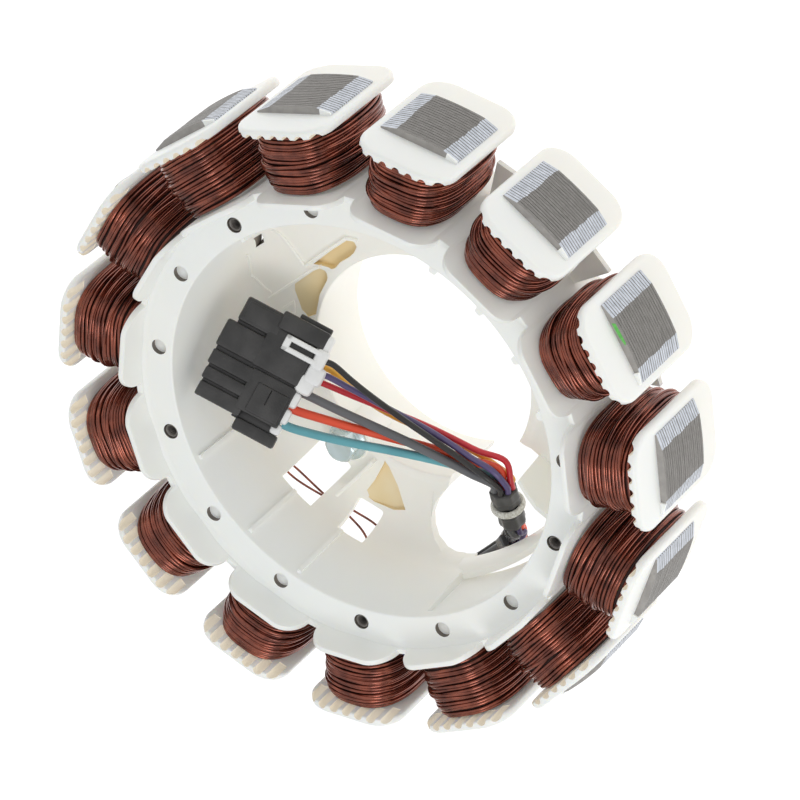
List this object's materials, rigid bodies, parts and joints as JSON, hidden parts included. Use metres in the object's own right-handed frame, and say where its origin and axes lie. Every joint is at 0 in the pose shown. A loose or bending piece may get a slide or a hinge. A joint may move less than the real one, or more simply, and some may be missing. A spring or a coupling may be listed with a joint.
{
  "type": "wound stator",
  "caption": "Round stator with wound poles facing outwards on a moulded ring, a deep dish inside it and a loose lead set that ends in a flat connector.",
  "frame": {"origin": "on the stator's axis, on the plane of the centre sleeve's rear rim, which is what the stator lies on", "axes": "+Z along the stator's axis, from the rear rim to the open face of the dish; +X through the middle of the first pole"},
  "size_m": [0.2178, 0.2186, 0.085],
  "materials": {
    "natural_nylon": "glass-filled moulding, satin",
    "laminated_steel": "stacked sheet edges",
    "enamelled_wire": "brown-red enamel over the winding wire",
    "zinc_plate": "clear zinc",
    "charcoal_plastic": "fine satin",
    "harness_tape": "dull vinyl",
    "lacing_cord": "waxed twine",
    "lead_black": "smooth insulation",
    "lead_purple": "smooth insulation",
    "lead_red": "smooth insulation",
    "lead_yellow": "smooth insulation",
    "lead_grey": "smooth insulation",
    "lead_orange": "smooth insulation",
    "lead_teal": "smooth insulation"
  },
  "bodies": {
    "root": {"insulator_body": "natural_nylon", "stator_core": "laminated_steel", "flange_bolt": "zinc_plate", "crossover_wire_1": "enamelled_wire", "crossover_wire_2": "enamelled_wire", "connector_housing": "charcoal_plastic", "connector_plug": "natural_nylon", "harness_sleeve": "harness_tape", "harness_tail": "harness_tape", "lacing_cord": "lacing_cord", "cable_tie": "charcoal_plastic", "terminal_cover": "natural_nylon", "coil_01": "enamelled_wire", "coil_02": "enamelled_wire", "coil_03": "enamelled_wire", "coil_04": "enamelled_wire", "coil_05": "enamelled_wire", "coil_06": "enamelled_wire", "coil_07": "enamelled_wire", "coil_08": "enamelled_wire", "coil_09": "enamelled_wire", "coil_10": "enamelled_wire", "coil_11": "enamelled_wire", "coil_12": "enamelled_wire", "coil_13": "enamelled_wire", "coil_14": "enamelled_wire", "coil_15": "enamelled_wire", "threaded_insert_1": "zinc_plate", "threaded_insert_2": "zinc_plate", "threaded_insert_3": "zinc_plate", "threaded_insert_4": "zinc_plate", "threaded_insert_5": "zinc_plate", "lead_black": "lead_black", "lead_purple": "lead_purple", "lead_red": "lead_red", "lead_yellow": "lead_yellow", "lead_grey": "lead_grey", "lead_orange": "lead_orange", "lead_teal": "lead_teal"}
  },
  "joints": []
}
